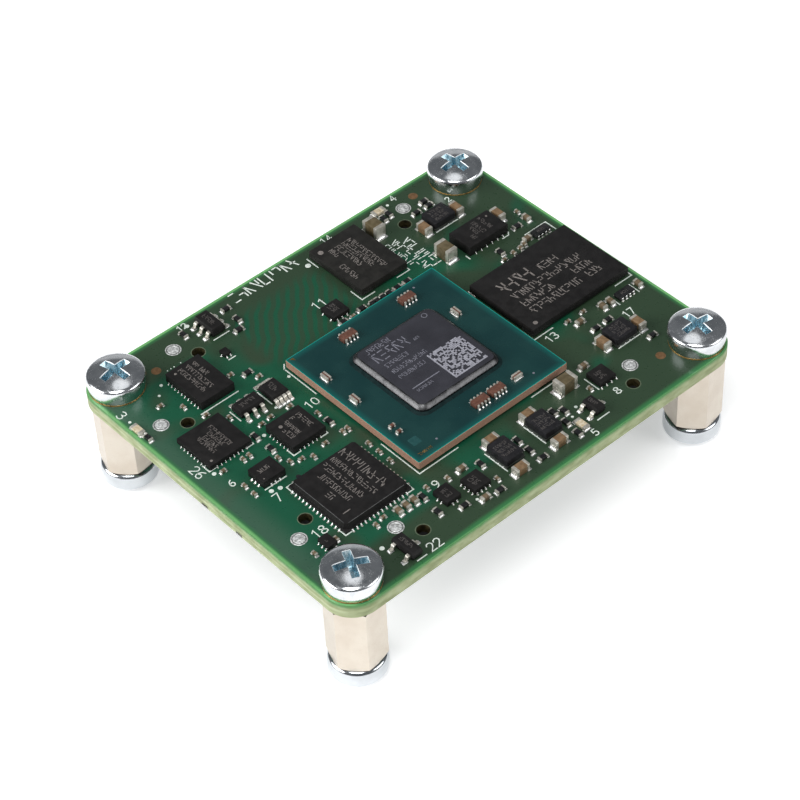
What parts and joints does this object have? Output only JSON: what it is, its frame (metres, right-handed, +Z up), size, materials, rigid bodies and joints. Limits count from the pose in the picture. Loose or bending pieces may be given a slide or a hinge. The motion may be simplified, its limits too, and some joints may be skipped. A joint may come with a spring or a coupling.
{
  "type": "system on module",
  "caption": "Small plug-on circuit board with a lidded processor, memory and power chips, standing on hexagonal standoffs held by pan-head screws.",
  "frame": {"origin": "middle of the board's outline, at the height of the ends of the lower screw heads that are the feet", "axes": "+X along the board's long side, away from the side connector; +Y along the short side, towards the flash chip; +Z up, out of the side that carries the processor"},
  "size_m": [0.05, 0.04, 0.0144],
  "materials": {
    "board": "green solder mask, glossy",
    "screw_steel": "bright plated",
    "standoff_metal": "satin",
    "substrate": "dark teal lacquer, satin",
    "adhesive": "matte black",
    "lid_metal": "matte grey top, polished edges",
    "solder": "bright solder",
    "terminal": "tinned",
    "array_body": "fired ceramic",
    "mould": "fine matte mould",
    "module_base": "dark laminate",
    "ceramic": "fired ceramic",
    "resistor_body": "dark glaze",
    "lamp_body": "clear resin over a pale chip",
    "connector_mould": "black mould",
    "contact_metal": "gold plated"
  },
  "bodies": {
    "root": {"back_connector": "connector_mould", "bent_legs": "terminal", "bulk_capacitor_ends": "terminal", "bulk_capacitors": "ceramic", "capacitor_array_ends": "terminal", "capacitor_arrays": "array_body", "chip_resistors": "resistor_body", "circuit_board": "board", "clock_chip": "mould", "clock_leads": "terminal", "connector_contacts": "contact_metal", "connector_tabs": "solder", "converter_chip": "mould", "converter_leads": "terminal", "flash_chip": "mould", "foot_screws": "screw_steel", "front_connector": "connector_mould", "indicator_lamp_ends": "terminal", "indicator_lamps": "lamp_body", "large_capacitor_ends": "terminal", "large_capacitors": "ceramic", "legged_chips": "mould", "medium_capacitor_ends": "terminal", "medium_capacitors": "ceramic", "memory_chip": "mould", "network_chip": "mould", "network_chip_leads": "terminal", "oscillator": "mould", "oscillator_leads": "terminal", "port_chip": "mould", "port_leads": "terminal", "power_module_bases": "module_base", "power_module_blocks": "mould", "processor_adhesive": "adhesive", "processor_lid": "lid_metal", "processor_substrate": "substrate", "resistor_network_legs": "terminal", "resistor_networks": "resistor_body", "reverse_capacitor_ends": "terminal", "reverse_capacitors": "ceramic", "side_connector": "connector_mould", "small_capacitors": "ceramic", "small_chip_leads": "terminal", "small_chips": "mould", "solder_balls": "solder", "standoffs": "standoff_metal", "timer_chip": "mould", "timer_leads": "terminal", "tiny_capacitors": "ceramic", "top_screws": "screw_steel", "under_capacitors": "ceramic"}
  },
  "joints": []
}
